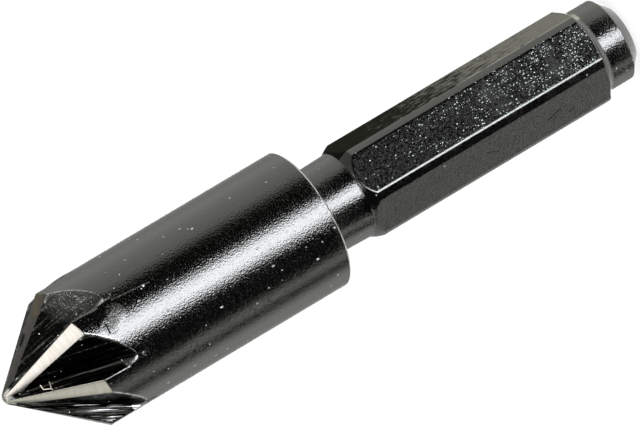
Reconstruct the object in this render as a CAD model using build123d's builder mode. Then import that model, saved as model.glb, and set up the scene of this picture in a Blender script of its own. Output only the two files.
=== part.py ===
# Countersink bit, turned and ground in one piece from steel bar.
# It stands on its shank end with the tip up: Z is the tool axis, and the origin is the centre
# of the shank's flat end. One flat of the hexagon faces -Y.
import os
from math import acos, cos, radians, sin, sqrt, tan

from build123d import *

# Driving dimensions in millimetres and degrees, along the axis from the tip to the shank end.
head_diameter = 10.0
cone_angle = 84.0
tip_flat_diameter = 0.6
head_length = 24.2
head_rear_break = 0.12
neck_front_diameter = 6.05
neck_rear_diameter = 6.2
neck_length = 3.2
shank_across_flats = 6.35
shank_corner_diameter = 7.0
shank_length = 19.5
shank_front_angle = 28.0
shank_front_crown = 0.03
shank_rear_fillet = 0.6
end_diameter = 5.93
end_length = 2.4
end_chamfer = 0.77

# Seven flutes. Each has a flat radial rake face, and a back wall that climbs out of the head.
flute_count = 7
first_edge_angle = -13.8
flute_run_out = 8.45
flute_slope = 29.5
flute_wall_angle = 83.0
flute_corner_radius = 0.5
land_relief_angle = 6.0

head_radius = head_diameter / 2
neck_front_radius = neck_front_diameter / 2
neck_rear_radius = neck_rear_diameter / 2
corner_radius = shank_corner_diameter / 2
end_radius = end_diameter / 2
pitch_angle = 360 / flute_count
overall_length = head_length + neck_length + shank_length + end_length

# Stations along the tool axis, measured down from the sharp apex of the cone.
tip_cut = tip_flat_diameter / 2 / tan(radians(cone_angle / 2))
head_rear = tip_cut + head_length
neck_rear = head_rear + neck_length
shank_rear = neck_rear + shank_length
end_face = shank_rear + end_length

# The section plane holds the tool axis and -Y. The tool plane faces down the axis. Angles
# about the axis start at -Y and grow towards -X.
apex = (0, 0, overall_length + tip_cut)
tool_axis = Axis(apex, (0, 0, -1))
section_plane = Plane(origin=apex, x_dir=(0, 0, -1), z_dir=(-1, 0, 0))
tool_plane = Plane(origin=apex, x_dir=(0, -1, 0), z_dir=(0, 0, -1))

# The flute cutter stands on its own apex, with the axis along Z and its rake face on XZ.
# Its section is drawn square to the flute's bottom line, which leaves the head at the run-out.
slope = radians(flute_slope)
cutter_reach = 2 * head_diameter
flute_plane = Plane(
    origin=(head_radius, 0, flute_run_out),
    x_dir=(cos(slope), 0, -sin(slope)),
    z_dir=(sin(slope), 0, cos(slope)),
)
with BuildPart() as flute:
    with BuildSketch(flute_plane) as flute_section:
        with BuildLine():
            Polyline(
                (0, 0),
                (cutter_reach, 0),
                (cutter_reach, -cutter_reach),
                (cutter_reach / tan(radians(flute_wall_angle)), -cutter_reach),
                close=True,
            )
        make_face()
        fillet(flute_section.vertices().sort_by(Axis.X)[0], radius=flute_corner_radius)
    extrude(amount=cutter_reach, both=True)

# What grinding takes off one land: all that lies outside a cone tilted about the apex,
# so that the land falls away behind its cutting edge.
relief = radians(land_relief_angle)
relief_half_angle = acos(cos(radians(cone_angle / 2)) * cos(relief))
relief_plane = Plane.XZ.rotated((land_relief_angle, 0, 0))
with BuildPart() as land_relief:
    with BuildSketch(Plane.XZ):
        Rectangle(head_diameter, 2 * head_diameter, align=(Align.MIN, Align.CENTER))
    revolve(axis=Axis.Z, revolution_arc=pitch_angle)
    with BuildSketch(relief_plane):
        with BuildLine():
            Polyline(
                (0, 0),
                (cutter_reach * tan(relief_half_angle), cutter_reach),
                (0, cutter_reach),
                close=True,
            )
        make_face()
    revolve(axis=Axis((0, 0, 0), (0, -sin(relief), cos(relief))), mode=Mode.SUBTRACT)

with BuildPart(tool_plane) as countersink_bit:
    # Hexagonal shank. Its corners, the crowned chamfer in front and the hollow behind are turned.
    front_corner = neck_rear + (corner_radius - neck_rear_radius) / tan(radians(shank_front_angle))
    fillet_centre_radius = end_radius + shank_rear_fillet
    rear_corner = shank_rear - sqrt(shank_rear_fillet**2 - (fillet_centre_radius - corner_radius) ** 2)
    with BuildSketch(section_plane):
        with BuildLine():
            Polyline(
                (shank_rear, end_radius),
                (shank_rear, 0),
                (neck_rear, 0),
                (neck_rear, neck_rear_radius),
            )
            SagittaArc((neck_rear, neck_rear_radius), (front_corner, corner_radius), shank_front_crown)
            Line((front_corner, corner_radius), (rear_corner, corner_radius))
            RadiusArc((rear_corner, corner_radius), (shank_rear, end_radius), -shank_rear_fillet)
        make_face()
    revolve(axis=tool_axis)
    with BuildSketch(tool_plane.offset(neck_rear)):
        RegularPolygon(shank_across_flats / 2, 6, major_radius=False, rotation=30)
    extrude(amount=shank_length, mode=Mode.INTERSECT)

    # Head blank, neck and the round end of the shank.
    with BuildSketch(section_plane):
        with BuildLine():
            Polyline(
                (tip_cut, 0),
                (tip_cut, head_radius),
                (head_rear - head_rear_break, head_radius),
                (head_rear, head_radius - head_rear_break),
                (head_rear, neck_front_radius),
                (neck_rear, neck_rear_radius),
                (neck_rear, 0),
                close=True,
            )
        make_face()
        with BuildLine():
            Polyline(
                (shank_rear, 0),
                (shank_rear, end_radius),
                (end_face - end_chamfer, end_radius),
                (end_face, end_radius - end_chamfer),
                (end_face, 0),
                close=True,
            )
        make_face()
    revolve(axis=tool_axis)

    # The lands and flutes make the cone of the head.
    with PolarLocations(0, flute_count, start_angle=first_edge_angle):
        add(land_relief.part, mode=Mode.SUBTRACT)
    with PolarLocations(0, flute_count, start_angle=first_edge_angle):
        add(flute.part, mode=Mode.SUBTRACT)

countersink_bit.part.label = "countersink_bit"

os.makedirs("parts", exist_ok=True)
export_step(countersink_bit.part, "parts/countersink_bit.step")
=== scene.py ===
# Countersink bit: the finish of the steel, the studio round it and the camera.
# Lengths are millimetres until a mesh is made. The bit stands on its shank end, tip up.
# Angles about the tool axis start at -Y and grow towards -X, clockwise seen from the tip.
# Stations run down the axis from the sharp apex of the cone.
from math import acos, cos, pi, radians, sin, sqrt, tan

import bmesh
import bpy
import numpy as np
from mathutils import Matrix, Vector


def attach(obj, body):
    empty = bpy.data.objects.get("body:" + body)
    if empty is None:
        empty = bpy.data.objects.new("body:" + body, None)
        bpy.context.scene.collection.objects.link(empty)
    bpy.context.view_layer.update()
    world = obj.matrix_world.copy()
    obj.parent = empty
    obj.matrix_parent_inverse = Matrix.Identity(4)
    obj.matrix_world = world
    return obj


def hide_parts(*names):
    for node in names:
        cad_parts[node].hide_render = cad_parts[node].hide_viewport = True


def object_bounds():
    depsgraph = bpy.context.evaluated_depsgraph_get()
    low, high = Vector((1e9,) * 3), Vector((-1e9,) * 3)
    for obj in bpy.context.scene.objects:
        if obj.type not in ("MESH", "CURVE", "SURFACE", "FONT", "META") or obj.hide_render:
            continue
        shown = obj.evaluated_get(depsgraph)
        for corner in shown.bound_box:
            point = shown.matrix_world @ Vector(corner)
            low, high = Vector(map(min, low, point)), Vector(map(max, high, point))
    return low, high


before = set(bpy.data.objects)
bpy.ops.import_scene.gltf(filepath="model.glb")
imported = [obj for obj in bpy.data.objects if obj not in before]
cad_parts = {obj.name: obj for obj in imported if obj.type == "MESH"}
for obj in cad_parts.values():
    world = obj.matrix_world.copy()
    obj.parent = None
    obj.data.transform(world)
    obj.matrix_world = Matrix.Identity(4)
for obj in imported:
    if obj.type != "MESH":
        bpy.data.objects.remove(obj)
cad_low, cad_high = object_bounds()

MM = 0.001

# Sizes of the real bit, as in the part's source.
overall_length = cad_high.z / MM
head_radius = cad_high.x / MM
half_cone = radians(42)
tip_flat_radius = 0.3
head_length = 24.2
head_rear_break = 0.12
neck_front_radius = 3.025
neck_rear_radius = 3.1
neck_length = 3.2
flat_radius = 3.175
corner_radius = 3.5
shank_length = 19.5
shank_front_angle = radians(28)
shank_front_crown = 0.03
shank_rear_fillet = 0.6
end_radius = 2.965
end_chamfer = 0.77
flute_count = 7
first_edge = radians(-13.8)
flute_run_out = 8.45
flute_slope = radians(29.5)
flute_wall = radians(83)
flute_corner = 0.5
land_relief = radians(6)

# From one flute to the next, from one flat to the next, and from a flat's middle to its edge.
pitch = 2 * pi / flute_count
flat_pitch = pi / 3
flat_edge = acos(flat_radius / corner_radius)

tip_station = tip_flat_radius / tan(half_cone)
edge_shoulder = head_radius / tan(half_cone)
head_rear = tip_station + head_length
neck_rear = head_rear + neck_length
shank_rear = neck_rear + shank_length
end_station = tip_station + overall_length

# How far use and tumbling have rounded the edges. The tip is a ball that touches the cone, and
# the last three are the arcs of turned edges, from the head's rim to the shank's end.
tip_ball = tip_station / (1 / sin(half_cone) - 1)
shoulder_wear = 0.03
flute_edge_wear = 0.08
land_edge_wear = 0.015
hexagon_edge_wear = 0.045
rim_arcs = [0.05, 0.04]
neck_root_arc = 0.12
end_arcs = [0.12, 0.1]

# Where the metal is worn bare, with a painted highlight on it: this wide along a flute's edges
# from just above the cone's shoulder, and down to this station at the tip, with a fade.
worn_lit_edge_width = 0.11
worn_lit_above_shoulder = 0.1
worn_lit_tip = 0.95
worn_lit_tip_fade = 0.2

# Columns of the mesh in each of the seven sectors, from one cutting edge to the next: the land,
# the flute, what lies between the flute and the rake plane, and the rake face. Seven sectors
# have as many columns as the six of the hexagon, each with its corner, edges and flat.
land_columns = 22
flute_columns = 32
side_columns = 6
rake_columns = 6
sector_columns = land_columns + flute_columns + side_columns + rake_columns
ring_columns = flute_count * sector_columns
assert ring_columns % 6 == 0
half_corner_columns = 6
flat_edge_columns = 12
flat_columns = ring_columns // 6 - 2 * (half_corner_columns + flat_edge_columns)


def closer_at_end(count):
    """Shares from 0 to 1 that lie closer together towards 1."""
    return 1 - (1 - np.linspace(0, 1, count)) ** 1.8


def closer_at_both_ends(count):
    """Shares from 0 to 1 that lie closer together towards both ends."""
    return (1 - np.cos(pi * np.linspace(0, 1, count))) / 2


# Rings of the mesh down the fluted end, as shares of the way from the tip to the cone's shoulder,
# closer together on the ball, and of the way from there to a ring just past the flutes.
cone_shares = np.concatenate([np.linspace(0.004, 0.15, 12), np.linspace(0.165, 1, 52)])
body_shares = np.concatenate([[0.012, 0.03], closer_at_end(46)[1:]])
head_ring_count = len(cone_shares) + len(body_shares)
last_head_ring = flute_run_out + 0.25

# Rings behind it: on the plain body, up the shank's crowned front, along the hexagon and down
# the hollow behind it. The columns move over to the hexagon's on the plain body. A ring close to
# each end of the hexagon keeps the shading of its flats apart from that of its ends.
body_stations = np.linspace(9.1, 18, 22)
last_body_ring = 24.0
columns_move_from, columns_move_over = 9.5, 8
crown_rings = 16
hexagon_rings = 12
hollow_rings = 14
ring_by_hexagon_end = 0.06
ring_before_shank = 0.3
ring_behind_shank = 0.05
end_ring_radius = 0.3


def smooth_min(a, b, width):
    """The smaller of two values, with the corner between them rounded over a width."""
    h = np.clip(0.5 + 0.5 * (b - a) / width, 0, 1)
    return b + (a - b) * h - width * h * (1 - h)


def land_radius(station, behind):
    """Radius of a land at an angle behind its cutting edge.

    A land is part of a cone whose axis is tilted about the apex. All its rays make the same angle
    with that axis, which gives a quadratic for the radius.
    """
    s = np.sin(behind) * sin(land_relief)
    c = cos(half_cone) * cos(land_relief)
    k = cos(land_relief)
    root = np.sqrt(s**2 * k**2 + (c**2 - s**2) * (k**2 - c**2))
    return station * (root - s * k) / (c**2 - s**2)


def over_flute_bottom(station, radius, ahead):
    """Height of a point over the flute's bottom line, square to that line."""
    bottom = head_radius - (flute_run_out - station) * tan(flute_slope)
    return (radius * np.cos(ahead) - bottom) * cos(flute_slope)


def flute_wall_height(across):
    """Height of the flute's floor and wall over its bottom line, at a distance from the rake face."""
    centre = flute_corner * (1 + cos(flute_wall)) / sin(flute_wall)
    inside = np.clip(flute_corner**2 - (across - flute_corner) ** 2, 0, None)
    in_corner = across < flute_corner * (1 + cos(flute_wall))
    return np.where(in_corner, centre - np.sqrt(inside), across / tan(flute_wall))


def flute_radius(station, ahead):
    """Radius at which a ray, at an angle ahead of the rake face, comes out into the flute."""
    station, ahead = np.broadcast_arrays(station, ahead)
    far_outside, halvings = 4 * head_radius, 40
    low = np.zeros(station.shape)
    high = np.full(station.shape, far_outside)
    for _ in range(halvings):
        middle = (low + high) / 2
        cut = over_flute_bottom(station, middle, ahead) > flute_wall_height(middle * np.sin(ahead))
        high = np.where(cut, middle, high)
        low = np.where(cut, low, middle)
    return (low + high) / 2


def blank_radius(station):
    """Radius of the round bar with its worn tip."""
    up = np.clip(station - tip_station, 0, None)
    touch = tip_ball * (1 - sin(half_cone))
    cap = np.sqrt(np.clip(up * (2 * tip_ball - up), 0, None))
    return np.where(up < touch, cap, head_radius)


def head_surface(station, ahead):
    """Radius of the head at an angle ahead of a rake plane, with its edges worn."""
    land = land_radius(station, pitch - ahead)
    solid = smooth_min(np.full_like(land, head_radius), land, shoulder_wear)
    solid = np.minimum(solid, blank_radius(station))
    on_cone = np.clip((head_radius - land) / shoulder_wear, 0, 1)
    wear = flute_edge_wear + (land_edge_wear - flute_edge_wear) * on_cone
    return smooth_min(solid, flute_radius(station, ahead), wear)


def crossing(angles, heights, index):
    """Angle, between one of a row and the next, at which the row's heights pass zero."""
    share = heights[index] / (heights[index] - heights[index + 1])
    return angles[index] + share * (angles[index + 1] - angles[index])


def flute_limits():
    """Stations, and the two angles ahead of the rake plane between which the flute is open there."""
    past_run_out, station_step, widest_flute, angle_count = 0.3, 0.006, radians(46), 420
    stations = np.arange(tip_station, flute_run_out + past_run_out, station_step)
    angles = np.linspace(0, widest_flute, angle_count)
    grid_station, grid_angle = np.meshgrid(stations, angles, indexing="ij")
    land = land_radius(grid_station, pitch - grid_angle)
    over = flute_radius(grid_station, grid_angle) - np.minimum(land, head_radius)
    near, far = [], []
    for heights in over:
        open_at = np.nonzero(heights < 0)[0]
        if len(open_at):
            first, last = open_at[0], min(open_at[-1], angle_count - 2)
            near.append(crossing(angles, heights, first - 1) if first else 0.0)
            far.append(crossing(angles, heights, last))
        else:
            nearly_open = angles[np.argmin(heights)]
            near.append(nearly_open)
            far.append(nearly_open)
    return stations, np.array(near), np.array(far)


def wear_and_highlight(station, radius, ahead, near_angle, far_angle):
    """1 where a flute's edge or the tip is worn bare and carries a painted highlight, and 0 away from
    there.
    """
    to_far = abs(ahead - far_angle)
    to_near = abs(ahead - near_angle) if near_angle else np.inf
    from_edge = radius * np.minimum(to_far, to_near)
    worn_and_lit = np.exp(-(from_edge / worn_lit_edge_width) ** 2) * (station > edge_shoulder - worn_lit_above_shoulder)
    worn_and_lit = worn_and_lit * (radius * (far_angle - near_angle) > worn_lit_edge_width)
    return np.maximum(worn_and_lit, np.clip((worn_lit_tip - station) / worn_lit_tip_fade, 0, 1))


def sector_ring(at_edge, at_far, near_angle, far_angle):
    """One ring's columns in a sector: angle behind its cutting edge, radius, station, and wear with its
    painted highlight.

    The ring's station runs from one value at the cutting edge to another at the land's far side,
    and back to the first at the next rake face.
    """
    land_ahead = pitch - closer_at_end(land_columns) * (pitch - far_angle)
    flute_ahead = far_angle + closer_at_both_ends(flute_columns + 1)[1:] * (near_angle - far_angle)
    side_ahead = near_angle * (1 - np.linspace(0, 1, side_columns + 1)[1:])
    ahead = np.concatenate([land_ahead, flute_ahead, side_ahead])
    on_land = (pitch - ahead) / (pitch - far_angle)
    off_land = ahead / max(far_angle, 1e-6)
    station = at_edge + (at_far - at_edge) * np.minimum(on_land, off_land)
    radius = head_surface(station, ahead)
    worn_and_lit = wear_and_highlight(station, radius, ahead, near_angle, far_angle)
    rake = np.linspace(radius[-1], max(radius[0], radius[-1]), rake_columns + 2)[1:-1]
    return (
        np.concatenate([pitch - ahead, np.full(rake_columns, pitch)]),
        np.concatenate([radius, rake]),
        np.concatenate([station, np.full(rake_columns, at_edge)]),
        np.concatenate([worn_and_lit, np.zeros(rake_columns)]),
    )


def down_head(shoulder):
    """Stations of the rings along a line down the head that has its shoulder at one station."""
    on_cone = tip_station + cone_shares * (shoulder - tip_station)
    on_body = shoulder + body_shares * (last_head_ring - shoulder)
    return np.concatenate([on_cone, on_body])


def head_rings():
    """Rings of the fluted end: angle, radius, station, and wear with its painted highlight, of every
    column, from the tip down.
    """
    stations, near, far = flute_limits()
    # The land's far side and its shoulder depend on each other, and a few rounds settle both.
    far_shoulder = edge_shoulder
    for _ in range(4):
        trailing = float(np.interp(far_shoulder, stations, far))
        far_shoulder = head_radius / float(land_radius(1.0, pitch - trailing))
    sectors = first_edge + pitch * np.arange(flute_count)
    rings = []
    for at_edge, at_far in zip(down_head(edge_shoulder), down_head(far_shoulder)):
        far_angle = float(np.interp(at_far, stations, far))
        near_angle = min(float(np.interp(at_edge, stations, near)), far_angle)
        behind, *others = sector_ring(at_edge, at_far, near_angle, far_angle)
        angle = (sectors[:, None] + behind).ravel()
        rings.append((angle, *(np.tile(values, flute_count) for values in others)))
    return rings


def rounded(points, radii, steps=5):
    """A profile of (station, radius) points with each inner corner turned to an arc."""
    out = [points[0]]
    for before, corner, after, radius in zip(points, points[1:], points[2:], radii):
        a, b, c = (np.array(p, float) for p in (before, corner, after))
        to_a, to_c = (a - b) / np.linalg.norm(a - b), (c - b) / np.linalg.norm(c - b)
        half = acos(np.clip(to_a @ to_c, -1, 1)) / 2
        centre = b + (to_a + to_c) / np.linalg.norm(to_a + to_c) * radius / sin(half)
        start, end = b + to_a * radius / tan(half), b + to_c * radius / tan(half)
        for t in np.linspace(0, 1, steps):
            way = (start - centre) * (1 - t) + (end - centre) * t
            out.append(tuple(centre + way / np.linalg.norm(way) * radius))
    return out + [points[-1]]


def rear_profile():
    """Turned profile behind the flutes, down to the middle of the end face."""
    front_length = (corner_radius - neck_rear_radius) / tan(shank_front_angle)
    front_corner = neck_rear + front_length
    fillet_centre = end_radius + shank_rear_fillet
    rear_corner = shank_rear - sqrt(shank_rear_fillet**2 - (fillet_centre - corner_radius) ** 2)
    profile = [(station, head_radius) for station in body_stations]
    profile += rounded([
        (last_body_ring, head_radius),
        (head_rear - head_rear_break, head_radius),
        (head_rear, head_radius - head_rear_break),
        (head_rear, neck_front_radius),
        (neck_rear - ring_before_shank, neck_rear_radius),
    ], [*rim_arcs, neck_root_arc])
    for t in np.linspace(0, 1, crown_rings):
        crown = shank_front_crown * 4 * t * (1 - t)
        radius = neck_rear_radius + t * (corner_radius - neck_rear_radius) + crown
        profile.append((neck_rear + t * front_length, radius))
    along = np.linspace(front_corner, rear_corner, hexagon_rings)[1:-1]
    by_front, by_rear = front_corner + ring_by_hexagon_end, rear_corner - ring_by_hexagon_end
    for station in (by_front, *along, by_rear, rear_corner):
        profile.append((station, corner_radius))
    for station in np.linspace(rear_corner, shank_rear, hollow_rings)[1:]:
        drop = sqrt(max(shank_rear_fillet**2 - (shank_rear - station) ** 2, 0))
        profile.append((station, fillet_centre - drop))
    return profile + rounded([
        (shank_rear + ring_behind_shank, end_radius),
        (end_station - end_chamfer, end_radius),
        (end_station, end_radius - end_chamfer),
        (end_station, end_ring_radius),
    ], end_arcs)


def hexagon_angles():
    """Angles of the columns on the shank, close together where a flat meets a turned corner."""
    reach = radians(1.8)
    stops = [
        (-flat_pitch / 2, half_corner_columns),
        (-flat_edge - reach, flat_edge_columns),
        (-flat_edge + reach, flat_columns),
        (flat_edge - reach, flat_edge_columns),
        (flat_edge + reach, half_corner_columns),
        (flat_pitch / 2, 0),
    ]
    sector = np.concatenate([
        np.linspace(start, stop, count, endpoint=False)
        for (start, count), (stop, _) in zip(stops, stops[1:])
    ])
    around = (sector + flat_pitch * np.arange(6)[:, None]).ravel()
    return np.sort(np.where(around < first_edge, around + 2 * pi, around))


def rear_rings(head_angles):
    """Rings from the plain body to the end face, on columns that move over to the hexagon's."""
    shank_angles = hexagon_angles()
    rings = []
    for station, radius in rear_profile():
        share = np.clip((station - columns_move_from) / columns_move_over, 0, 1)
        angle = head_angles + share * (shank_angles - head_angles)
        radii = np.full(ring_columns, radius)
        if neck_rear <= station <= shank_rear:
            from_middle = (angle + flat_pitch / 2) % flat_pitch - flat_pitch / 2
            radii = smooth_min(radii, flat_radius / np.cos(from_middle), hexagon_edge_wear)
        rings.append((angle, radii, np.full(ring_columns, station), np.zeros(ring_columns)))
    return rings


def to_points(ring):
    """A ring's points in metres."""
    angle, radius, station, _ = ring
    height = overall_length + tip_station - station
    return np.stack([-radius * np.sin(angle), -radius * np.cos(angle), height], -1) * MM


def tool_marks(ring):
    """Where each point lies on the tool's path, in millimetres: two ways across its lines, one along.

    The sectors lie far apart along their lines, so that no two have the same marks.
    """
    far_apart = 20
    angle, radius, station, _ = ring
    sector = np.arange(ring_columns) // sector_columns
    on_land = np.arange(ring_columns) % sector_columns < land_columns
    ahead = pitch * (sector + 1) + first_edge - angle
    shift = far_apart * sector
    rise = over_flute_bottom(station, radius, ahead)
    milled = np.stack([rise, radius * np.sin(ahead), station / cos(flute_slope) + shift], -1)
    ground = np.stack([station, station, radius * ahead + shift], -1)
    return np.where(on_land[:, None], ground, milled)


# The bit's materials, in the order in which make_bit adds them, and the flat that is stained.
POLISHED, GROUND, MILLED, HEXAGON, STAINED = range(5)
stained_flat = -flat_pitch


def finishes(row, ring):
    """The steel of each quad in the row that starts at a ring."""
    angle, _, station, _ = ring
    if row < head_ring_count:
        on_land = np.arange(ring_columns) % sector_columns < land_columns - 1
        on_cone = row < len(cone_shares) - 1
        return np.where(on_land, GROUND if on_cone else POLISHED, MILLED)
    if neck_rear <= station[0] < shank_rear:
        from_middle = abs((angle - stained_flat + pi) % (2 * pi) - pi)
        return np.where(from_middle < flat_edge, STAINED, HEXAGON)
    return np.full(ring_columns, POLISHED)


def bit_mesh():
    """The bit's surface as rings of quads from the worn tip to the end face."""
    head = head_rings()
    rings = head + rear_rings(head[-1][0])
    points = np.concatenate([to_points(ring) for ring in rings])
    tip, end = len(points), len(points) + 1
    points = np.concatenate([points, [[0, 0, overall_length * MM], [0, 0, 0]]])

    column = np.arange(ring_columns)
    following = (column + 1) % ring_columns
    faces = [(tip, b, a) for a, b in zip(column, following)]
    finish = [GROUND] * ring_columns
    for row, ring in enumerate(rings[:-1]):
        above, below = row * ring_columns, (row + 1) * ring_columns
        faces += zip(above + column, above + following, below + following, below + column)
        finish += finishes(row, ring).tolist()
    last = (len(rings) - 1) * ring_columns
    faces += [(end, last + a, last + b) for a, b in zip(column, following)]
    finish += [POLISHED] * ring_columns

    mesh = bpy.data.meshes.new("countersink_bit_surface")
    mesh.from_pydata(points.tolist(), [], faces)
    mesh.polygons.foreach_set("material_index", finish)
    mesh.polygons.foreach_set("use_smooth", [True] * len(faces))
    marks = np.concatenate([tool_marks(ring) for ring in rings] + [np.zeros((2, 3))])
    mesh.attributes.new("tool_marks", "FLOAT_VECTOR", "POINT").data.foreach_set("vector", marks.ravel())
    worn_and_lit = np.concatenate([ring[3] for ring in rings] + [np.zeros(2)])
    mesh.attributes.new("worn_lit_edge", "FLOAT", "POINT").data.foreach_set("value", worn_and_lit)

    same_point, no_length = 0.002 * MM, 0.001 * MM
    shape = bmesh.new()
    shape.from_mesh(mesh)
    bmesh.ops.remove_doubles(shape, verts=shape.verts, dist=same_point)
    bmesh.ops.dissolve_degenerate(shape, edges=shape.edges, dist=no_length)
    shape.to_mesh(mesh)
    shape.free()
    return mesh


def rgba(color):
    """A colour as a socket takes it. What comes from a node stays as it is."""
    return (*color, 1) if isinstance(color, tuple) else color


class Shader:
    """Nodes of a material or world, made and linked in short calls."""

    def __init__(self, tree):
        self.tree = tree
        tree.nodes.clear()

    def add(self, kind, inputs=(), **settings):
        """A node of one kind, with its settings made and its inputs filled or linked."""
        node = self.tree.nodes.new("ShaderNode" + kind)
        for name, value in settings.items():
            setattr(node, name, value)
        for name, value in dict(inputs).items():
            if isinstance(value, bpy.types.NodeSocket):
                self.tree.links.new(value, node.inputs[name])
            else:
                node.inputs[name].default_value = value
        return node

    def math(self, operation, *values):
        """What an operation makes of its values."""
        return self.add("Math", dict(enumerate(values)), operation=operation).outputs[0]

    def vector(self, operation, a, b):
        """What an operation makes of a vector and another vector, or a number when it scales."""
        second = "Scale" if operation == "SCALE" else 1
        node = self.add("VectorMath", {0: a, second: b}, operation=operation)
        return node.outputs["Value" if operation in ("DOT_PRODUCT", "DISTANCE") else "Vector"]

    def times(self, a, b):
        return self.math("MULTIPLY", a, b)

    def inverse(self, share):
        return self.math("SUBTRACT", 1.0, share)

    def largest(self, first, *others):
        for value in others:
            first = self.math("MAXIMUM", first, value)
        return first

    def between(self, value, low, high, out_low=0.0, out_high=1.0):
        """A value's range mapped to another, and held at its ends."""
        ends = {"From Min": low, "From Max": high, "To Min": out_low, "To Max": out_high}
        return self.add("MapRange", {"Value": value, **ends}).outputs["Result"]

    def mixed(self, share, a, b):
        """A number or colour between two, by a share. One of two colours, or both, is a tuple."""
        # Sockets of numbers and of colours share their names here, so they go by their places.
        if isinstance(a, tuple) or isinstance(b, tuple):
            return self.add("Mix", {0: share, 6: rgba(a), 7: rgba(b)}, data_type="RGBA").outputs[2]
        return self.add("Mix", {0: share, 2: a, 3: b}, data_type="FLOAT").outputs[0]

    def ramp(self, value, stops):
        """Strengths at their places from 0 to 1, with straight lines between them."""
        node = self.add("ValToRGB", {"Fac": value})
        elements = node.color_ramp.elements
        while len(elements) < len(stops):
            elements.new(0.5)
        for element, (position, strength) in zip(elements, stops):
            element.position = position
            element.color = (strength, strength, strength, 1)
        return node.outputs["Color"]

    def place(self):
        """The point's place on the bit, in millimetres."""
        return self.vector("SCALE", self.add("TexCoord").outputs["Object"], 1 / MM)

    def separate(self, vector):
        return self.add("SeparateXYZ", {"Vector": vector}).outputs

    def attribute(self, name, output):
        return self.add("Attribute", attribute_name=name).outputs[output]

    def stretched(self, where, scale):
        return self.vector("MULTIPLY", where, scale)

    def noise(self, where, per_mm, detail=3.0, rough=0.55):
        inputs = {"Vector": where, "Scale": per_mm, "Detail": detail, "Roughness": rough}
        return self.add("TexNoise", inputs).outputs["Fac"]

    def spots(self, where, per_mm, width, share, dimensions="3D"):
        """1 on small round spots, one in a share of all cells, and 0 between them."""
        inputs = {"Vector": where, "Scale": per_mm}
        cells = self.add("TexVoronoi", inputs, feature="F1", voronoi_dimensions=dimensions)
        spot = self.between(cells.outputs["Distance"], width, width * 0.5)
        pick = self.add("SeparateColor", {"Color": cells.outputs["Color"]}).outputs["Red"]
        return self.times(spot, self.math("LESS_THAN", pick, share))

    def near_line(self, where, start, end, reach):
        """1 on a straight line between two points, fading to 0 at a distance."""
        start, end = Vector(start), Vector(end)
        along, length = (end - start).normalized(), (end - start).length
        away = self.vector("SUBTRACT", where, start)
        share = self.vector("DOT_PRODUCT", away, along)
        within = self.add("Clamp", {"Value": share, "Min": 0.0, "Max": length}).outputs["Result"]
        foot = self.vector("SCALE", along, within)
        return self.between(self.vector("DISTANCE", away, foot), reach, reach * 0.3)

    def bumped(self, height, distance, normal=None):
        """A normal that follows a height, whose distance is in metres, over another normal."""
        inputs = {"Height": height, "Distance": distance}
        if normal is not None:
            inputs["Normal"] = normal
        return self.add("Bump", inputs).outputs["Normal"]

    def metal(self, color, roughness, normal):
        """Closes a steel's nodes: bare metal of one colour and polish, under its bumps."""
        inputs = {"Metallic": 1.0, "Base Color": rgba(color), "Roughness": roughness, "Normal": normal}
        surface = self.add("BsdfPrincipled", inputs)
        self.add("OutputMaterial", {"Surface": surface.outputs["BSDF"]})
        return surface


def steel(name):
    """A new material, and its nodes to be filled."""
    material = bpy.data.materials.new(name)
    material.use_nodes = True
    return material, Shader(material.node_tree)


def on_round(radius, station, angle):
    """A point at a radius from the tool axis, in millimetres."""
    return (-radius * sin(angle), -radius * cos(angle), overall_length + tip_station - station)


def on_head(station, degrees):
    """A point of the head's round surface."""
    return on_round(head_radius, station, radians(degrees))


def by_edge(number, station, degrees):
    """A point of the cone through the cutting edges, at an angle behind one of them."""
    angle = first_edge + number * pitch + radians(degrees)
    return on_round(station * tan(half_cone), station, angle)


def on_flat(number, across, height):
    """A point of one flat of the hexagon: 0 faces -Y, 1 is next towards -X."""
    turn = number * flat_pitch
    return (
        -flat_radius * sin(turn) - across * cos(turn),
        -flat_radius * cos(turn) + across * sin(turn),
        height,
    )


# Colours of the steel, of what lies on it, and of light and shade painted on it.
dark_steel = (0.15, 0.15, 0.143)
# Bare steel on worn edges, brightened further as a painted highlight.
bare_steel_and_highlight = (0.8, 0.8, 0.77)
dust = (0.75, 0.75, 0.75)
nick_shade = (0.01, 0.01, 0.012)
ground_dark, ground_light = (0.158, 0.152, 0.138), (0.186, 0.18, 0.167)
ground_nick_shade = (0.01, 0.01, 0.01)
burn_brown = (0.3, 0.23, 0.12)
rust_speck = (0.06, 0.045, 0.04)
worn_ball = (0.4, 0.39, 0.34)
torn_steel = (0.75, 0.71, 0.6)
# The flutes' near-black is painted shade, and their light streak lines are painted highlights.
flute_painted_shade, streak_painted_highlight = (0.012, 0.012, 0.01), (0.4, 0.4, 0.385)
painted_grey_reflection = (0.24, 0.24, 0.228)
painted_glint_color = (0.62, 0.72, 0.7)
scratch_shade = (0.02, 0.02, 0.02)
worn_flat, dark_scale = (0.45, 0.45, 0.4), (0.018, 0.018, 0.015)
stain_sheen = (0.5, 0.5, 0.48)

# Roughness of the smooth steel of head and flutes, and where it is worn or dusty.
smooth, matt = 0.13, 0.5

# The edges, counted from the first, of the land with a nick painted as shade and of the one with a
# burr.
upper_edge, burred_edge = -1, 1


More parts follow.
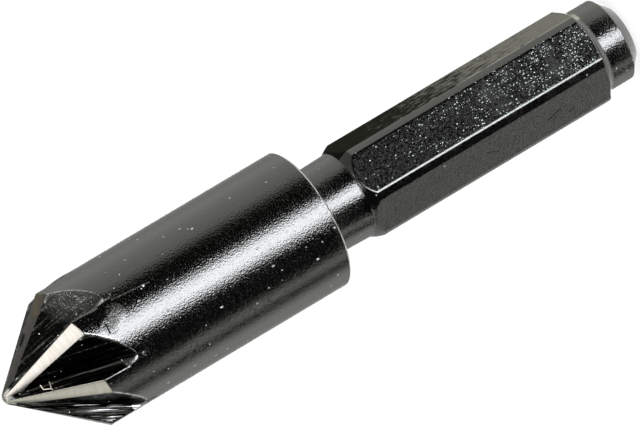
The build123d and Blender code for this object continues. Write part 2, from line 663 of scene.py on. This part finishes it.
def polished_steel():
    """Round head, neck and end: a satin turned surface with a fine grain and dust, a nick painted as
    shade, and a rim and worn edges with painted highlights.
    """
    material, s = steel("steel_polished")
    where = s.place()
    specks = s.largest(
        s.spots(where, per_mm=1.3, width=0.14, share=0.1),
        s.spots(s.stretched(where, (1.2, 0.8, 0.6)), per_mm=1.7, width=0.14, share=0.18),
        s.spots(where, per_mm=3.0, width=0.18, share=0.06),
    )
    scratch = s.near_line(where, on_head(8.69, -12.4), on_head(11.42, -9.2), reach=0.05)
    rough_patch = s.near_line(where, on_head(7.5, 3), on_head(8.3, -2), reach=0.75)
    # Painted shade: a dark line where a nick would be, with no dent in the mesh.
    painted_nick = s.near_line(where, on_head(7.3, 9), on_head(7.35, 2), reach=0.09)
    # The rim is where the round body meets the break behind it, and a painted highlight lies along it.
    rim_height = overall_length - head_length + 0.75 * head_rear_break
    rim_highlight = s.math("COMPARE", s.separate(where)["Z"], rim_height, head_rear_break / 2)
    worn_and_lit = s.largest(s.attribute("worn_lit_edge", "Fac"), s.times(rim_highlight, 0.6))
    worn_and_lit = s.times(worn_and_lit, s.between(s.noise(where, per_mm=2.5), 0.35, 0.6, out_low=0.3))

    normal = s.bumped(s.noise(where, per_mm=9.0, detail=1.0), 0.018 * MM)
    normal = s.bumped(s.times(rough_patch, s.noise(where, per_mm=4.0)), 0.12 * MM, normal)
    normal = s.bumped(s.largest(specks, scratch), 0.03 * MM, normal)
    color = s.mixed(specks, dark_steel, dust)
    color = s.mixed(worn_and_lit, color, bare_steel_and_highlight)
    color = s.mixed(painted_nick, color, nick_shade)
    s.metal(color, s.mixed(s.largest(specks, worn_and_lit), smooth, matt), normal)
    return material


def ground_steel():
    """Cutting lands: fine grinding lines from edge to edge, and a worn ball at the tip."""
    material, s = steel("steel_ground")
    where = s.place()
    lines = s.noise(s.stretched(s.attribute("tool_marks", "Vector"), (4.0, 4.0, 0.5)), per_mm=1.0)
    ball = s.between(s.separate(where)["Z"], overall_length - 0.3, overall_length - 0.1)
    specks = s.spots(where, per_mm=2.2, width=0.12, share=0.25)
    # Painted shade: a near-black mark where a nick would be, with no dent in the mesh.
    painted_nick = s.near_line(where, by_edge(upper_edge, 3.0, 5), by_edge(upper_edge, 3.4, 4), reach=0.26)
    burn = s.near_line(where, by_edge(upper_edge, 4.7, 9), by_edge(upper_edge, 5.4, 6), reach=0.55)

    color = s.mixed(s.between(lines, 0.35, 0.65), ground_dark, ground_light)
    color = s.mixed(s.times(burn, s.noise(where, per_mm=3.0)), color, burn_brown)
    color = s.mixed(specks, color, rust_speck)
    color = s.mixed(ball, color, worn_ball)
    color = s.mixed(painted_nick, color, ground_nick_shade)
    s.metal(color, s.mixed(ball, 0.3, 0.6), s.bumped(lines, 0.008 * MM))
    return material


def burr_steel():
    """Torn bright metal."""
    material, s = steel("steel_burr")
    s.metal(torn_steel, 0.5, s.bumped(s.noise(s.place(), per_mm=6.0), 0.02 * MM))
    return material


def milled_steel():
    """Flutes: near-black painted shade, streaks that the cutter left along its path with painted
    highlights on them, specks, bare metal and painted highlights on worn edges, and a painted grey
    reflection on one flute.
    """
    material, s = steel("steel_milled")
    where = s.place()
    marks = s.attribute("tool_marks", "Vector")
    streaks = s.noise(s.stretched(marks, (4.5, 4.5, 0.2)), per_mm=1.0, detail=2.0, rough=0.6)
    on_rake = s.between(s.separate(marks)["Y"], 0.7, 0.4)
    behind_tip = s.between(s.separate(where)["Z"], overall_length - 0.8, overall_length - 2.2)
    on_rake = s.times(on_rake, behind_tip)
    specks = s.spots(where, per_mm=2.4, width=0.14, share=0.14)
    # Painted reflection: a lighter grey cloud on one flute, over which the bright edges are also
    # dimmed.
    flute_reflection_patch = s.near_line(where, on_head(6.5, -39), on_head(7.3, -33), reach=1.9)
    cloud = s.between(s.noise(where, per_mm=2.0, detail=5.0, rough=0.7), 0.3, 0.5, out_low=0.3)
    worn_and_lit = s.times(s.attribute("worn_lit_edge", "Fac"), s.mixed(flute_reflection_patch, 1.0, 0.15))
    worn_and_lit = s.times(worn_and_lit, s.between(s.noise(where, per_mm=2.5), 0.3, 0.6, out_low=0.4))
    bright = s.largest(specks, worn_and_lit)

    normal = s.bumped(streaks, s.mixed(on_rake, 0.04 * MM, 0.16 * MM))
    normal = s.bumped(s.noise(where, per_mm=3.5), 0.02 * MM, normal)
    # Painted light: the streak lines take a light colour as painted highlights over the near-black
    # painted shade.
    lines = s.times(s.between(streaks, 0.54, 0.64), s.mixed(on_rake, 0.4, 1.0))
    color = s.mixed(lines, flute_painted_shade, streak_painted_highlight)
    color = s.mixed(s.times(flute_reflection_patch, cloud), color, painted_grey_reflection)
    color = s.mixed(bright, color, bare_steel_and_highlight)
    s.metal(color, s.mixed(bright, smooth, matt), normal)
    return material


def hexagon_steel():
    """Hexagon: drawn steel, pitted and hazed more and more towards its end, with a few scratches and
    painted glints on the pits.
    """
    material, s = steel("steel_hexagon")
    where = s.place()
    axes = s.separate(where)
    to_end = s.between(axes["Z"], 19.0, 6.0)
    facing = s.add("TexCoord").outputs["Normal"]
    forward = s.vector("DOT_PRODUCT", facing, (0, -1, 0))
    front, side = s.between(forward, 0.88, 0.97), s.between(forward, 0.8, 0.6)
    clumps = s.between(s.noise(where, per_mm=0.9, detail=4.0), 0.35, 0.6)
    pitted = s.times(s.times(to_end, clumps), front)

    # Glints on bumped pits, their bright colour a painted highlight: a few all over, and many on the
    # front flat, laid out on that flat itself.
    on_front = s.add("CombineXYZ", {"X": axes["X"], "Y": axes["Z"]}).outputs["Vector"]
    large_share = s.times(front, s.mixed(pitted, 0.01, 0.6))
    small_share = s.times(front, s.mixed(pitted, 0.03, 0.55))
    glints = s.largest(
        s.spots(where, per_mm=3.2, width=0.22, share=s.mixed(pitted, 0.015, 0.5)),
        s.spots(on_front, per_mm=3.4, width=0.2, share=large_share, dimensions="2D"),
        s.spots(on_front, per_mm=6.0, width=0.24, share=small_share, dimensions="2D"),
    )
    scratches = s.largest(
        s.near_line(where, on_flat(1, -0.2, 12.9), on_flat(1, 0.2, 12.0), reach=0.07),
        s.near_line(where, on_flat(1, 0.15, 8.0), on_flat(1, -0.2, 6.9), reach=0.07),
        s.near_line(where, on_flat(1, 0.5, 7.6), on_flat(1, 0.2, 7.2), reach=0.06),
        s.near_line(where, on_flat(1, 0.5, 6.3), on_flat(1, 0.3, 5.9), reach=0.06),
    )
    smear = s.near_line(where, on_flat(0, -0.7, 10.9), on_flat(0, 0.5, 10.7), reach=1.1)
    smear = s.times(smear, s.between(s.noise(where, per_mm=1.5), 0.3, 0.7))
    haze = s.times(to_end, s.between(s.noise(where, per_mm=0.7, detail=5.0), 0.45, 0.65))
    haze = s.largest(s.times(haze, 0.7), smear)

    grain = s.noise(where, per_mm=8.0, detail=2.0)
    normal = s.bumped(grain, s.mixed(side, 0.006 * MM, 0.034 * MM))
    normal = s.bumped(glints, 0.03 * MM, normal)
    normal = s.bumped(s.inverse(scratches), 0.03 * MM, normal)
    # Painted highlight: the glints' bright colour.
    color = s.mixed(glints, dark_steel, painted_glint_color)
    color = s.mixed(scratches, color, scratch_shade)
    cloud = s.noise(where, per_mm=5.0, detail=4.0, rough=0.6)
    polish = s.between(cloud, 0.35, 0.65, out_low=0.11, out_high=0.21)
    s.metal(color, s.largest(s.mixed(haze, polish, 0.25), s.times(glints, 0.4)), normal)
    return material


def stained_steel():
    """One flat of the hexagon: mottled dark scale, worn off more and more towards the end."""
    material, s = steel("steel_stained")
    where = s.place()
    mottle = s.noise(s.stretched(where, (3.0, 3.0, 1.1)), per_mm=1.2, detail=7.0, rough=0.8)
    scale = s.math("ADD", s.times(s.separate(where)["Z"], 0.03), s.times(mottle, 1.5))
    scale = s.between(scale, 0.98, 1.2)
    color = s.mixed(scale, worn_flat, dark_scale)
    normal = s.bumped(s.noise(where, per_mm=4.0), 0.02 * MM)
    surface = s.metal(color, s.mixed(scale, 0.2, 0.4), normal)
    surface.inputs["Specular Tint"].default_value = rgba(stain_sheen)
    return material


# The studio as the metal sees it, in degrees from the camera's azimuth, growing towards the side
# of the picture's lower edge. Low down stand a tall bright softbox by the camera, black flags on
# both sides of it, the pale room with a narrow dark gap, and a bright strip behind the bit. Higher
# up it is dark in front and pale behind. Both lists are azimuths with their strengths.
camera_azimuth, camera_elevation = 11.2, 19
low_studio = [
    (-180, 2.6), (-172, 2.4), (-166, 0.4), (-140, 0.5), (-120, 0.92), (-98, 0.78), (-77, 0.65),
    (-66, 0.58), (-62, 0.35), (-57, 0.01), (-16, 0.01), (-11, 5.6), (0, 6.6), (9, 6.6), (12, 5.6),
    (16, 2.6), (20, 0.01), (70, 0.01), (75, 0.5), (81, 0.82), (87, 0.8), (90, 0.0), (100, 0.0),
    (103, 0.45), (109, 0.65), (120, 0.9), (140, 0.55), (166, 0.4), (172, 2.4), (180, 2.6),
]
high_studio = [
    (-180, 0.4), (-125, 0.4), (-80, 0.25), (-20, 0.2), (0, 0.01), (80, 0.01), (100, 0.3),
    (140, 0.5), (180, 0.4),
]

# The low studio gives way to the high one, and to a pale table below, between these heights of a
# direction of length 1.
low_to_high, low_to_table = (0.05, 0.25), (-0.45, -0.6)
table_strength = 1.1

# Light up to the first of these strengths has the room's tint, and from the second the softbox's.
tint_strengths = (1.0, 4.0)
room_tint, softbox_tint, white = (1.0, 1.0, 0.97), (0.95, 0.97, 1.05), (1.0, 1.0, 1.0)

# Two small softboxes light the cutting lands: azimuth, elevation, half width, strength and tint.
land_softboxes = [(-24, 62, 17, 7.6, (1.0, 0.98, 0.98)), (103, 39, 13, 3.7, (0.99, 1.0, 0.9))]
softbox_fade = 3


def towards(azimuth, elevation):
    """The direction of a place in the studio."""
    around, up = radians(azimuth) + radians(camera_azimuth), radians(elevation)
    return (-cos(up) * sin(around), -cos(up) * cos(around), sin(up))


def make_world():
    """White light on all that isn't metal, and the studio in the metal's reflections."""
    world = bpy.data.worlds.new("studio")
    bpy.context.scene.world = world
    world.use_nodes = True
    s = Shader(world.node_tree)
    direction = s.add("TexCoord").outputs["Generated"]
    turn = pi / 2 + radians(camera_azimuth)
    turned = s.add("Mapping", {"Vector": direction, "Rotation": (0, 0, turn)}).outputs["Vector"]
    around = s.add("TexGradient", {"Vector": turned}, gradient_type="RADIAL").outputs["Fac"]

    def all_round(studio):
        """Strength at the direction's azimuth. A ramp holds shares of the brightest from 0 to 1."""
        brightest = max(strength for _, strength in studio)
        stops = [(0.5 - azimuth / 360, strength / brightest) for azimuth, strength in reversed(studio)]
        return s.times(s.ramp(around, stops), brightest)

    up = s.separate(direction)["Z"]
    light = s.mixed(s.between(up, *low_to_high), all_round(low_studio), all_round(high_studio))
    color = s.mixed(s.between(light, *tint_strengths), room_tint, softbox_tint)
    for azimuth, elevation, half_width, strength, tint in land_softboxes:
        near = s.vector("DOT_PRODUCT", direction, towards(azimuth, elevation))
        outside, inside = radians(half_width + softbox_fade), radians(half_width - softbox_fade)
        softbox = s.between(near, cos(outside), cos(inside))
        light = s.mixed(softbox, light, strength)
        color = s.mixed(softbox, color, tint)
    below = s.between(up, *low_to_table)
    light = s.mixed(below, light, table_strength)
    color = s.mixed(below, color, white)
    glossy = s.add("LightPath").outputs["Is Glossy Ray"]
    light = s.mixed(glossy, 1.0, light)
    color = s.mixed(glossy, white, color)
    background = s.add("Background", {"Color": color, "Strength": light})
    s.add("OutputWorld", {"Surface": background.outputs["Background"]})


def make_floor():
    """A floor that the camera sees as white, with a faint shadow."""
    half_width, own_color, camera_glow = 4.0, (0.3, 0.3, 0.3), 0.8
    material = bpy.data.materials.new("white_floor")
    material.use_nodes = True
    s = Shader(material.node_tree)
    lit = s.add("BsdfDiffuse", {"Color": rgba(own_color)})
    glow = s.times(s.add("LightPath").outputs["Is Camera Ray"], camera_glow)
    lift = s.add("Emission", {"Strength": glow})
    total = s.add("AddShader", {0: lit.outputs[0], 1: lift.outputs[0]})
    s.add("OutputMaterial", {"Surface": total.outputs[0]})
    mesh = bpy.data.meshes.new("floor")
    corners = [(x * half_width, y * half_width, 0) for x, y in ((-1, -1), (1, -1), (1, 1), (-1, 1))]
    mesh.from_pydata(corners, [], [(0, 1, 2, 3)])
    mesh.materials.append(material)
    floor = bpy.data.objects.new("floor", mesh)
    bpy.context.scene.collection.objects.link(floor)
    floor.visible_glossy = False


def make_camera():
    """The photograph's view: a long lens from the side and a little towards the tip, rolled."""
    roll = radians(30.78)
    lens, sensor = 900, 36
    image_width, image_height = 640, 429
    pixels_per_mm = 15.33
    bit_middle = (312.7, 216.0)
    right_of_centre = (bit_middle[0] - image_width / 2) / pixels_per_mm
    above_centre = (image_height / 2 - bit_middle[1]) / pixels_per_mm

    back = Vector(towards(0, camera_elevation))
    along = (Vector((0, 0, -1)) + back * back.z).normalized()
    down = along.cross(back)
    right = cos(roll) * along + sin(roll) * down
    up = sin(roll) * along - cos(roll) * down
    distance = lens / sensor * image_width / pixels_per_mm
    bit_centre = Vector((0, 0, overall_length / 2))
    place = bit_centre + back * distance - right * right_of_centre - up * above_centre

    camera = bpy.data.cameras.new("camera")
    camera.lens, camera.sensor_width = lens, sensor
    camera.clip_start, camera.clip_end = 0.05, 20
    item = bpy.data.objects.new("camera", camera)
    bpy.context.scene.collection.objects.link(item)
    turn = Matrix((right, up, back)).transposed().to_4x4()
    item.matrix_world = Matrix.Translation(place * MM) @ turn
    bpy.context.scene.camera = item


def make_bit():
    """The bit with its finish, in place of the plain solid."""
    item = bpy.data.objects.new("countersink_bit_dressed", bit_mesh())
    bpy.context.scene.collection.objects.link(item)
    for make in (polished_steel, ground_steel, milled_steel, hexagon_steel, stained_steel):
        item.data.materials.append(make())
    normals = item.modifiers.new("flat faces stay flat", "WEIGHTED_NORMAL")
    normals.keep_sharp = True
    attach(item, "root")
    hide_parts("countersink_bit")


def make_burr():
    """A bent sliver of steel that hangs on one cutting edge, over the flute."""
    thickness = 0.1
    # Stations, with degrees ahead of the cutting edge. The sliver comes back over itself.
    path = [(2.34, 16.0), (2.4, 6.5), (2.8, 4.5), (2.84, 0.0), (2.8, 4.5), (2.86, 16.0)]
    shape = bpy.data.curves.new("burr", "CURVE")
    shape.dimensions = "3D"
    shape.bevel_depth, shape.bevel_resolution = thickness / 2 * MM, 2
    line = shape.splines.new("POLY")
    line.points.add(len(path) - 1)
    for point, (station, ahead) in zip(line.points, path):
        place = Vector(by_edge(burred_edge, station, -ahead)) * MM
        point.co = (*place, 1)
    item = bpy.data.objects.new("burr", shape)
    bpy.context.scene.collection.objects.link(item)
    item.data.materials.append(burr_steel())
    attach(item, "root")


bpy.context.scene.view_settings.view_transform = "Standard"
make_bit()
make_burr()
make_world()
make_floor()
make_camera()
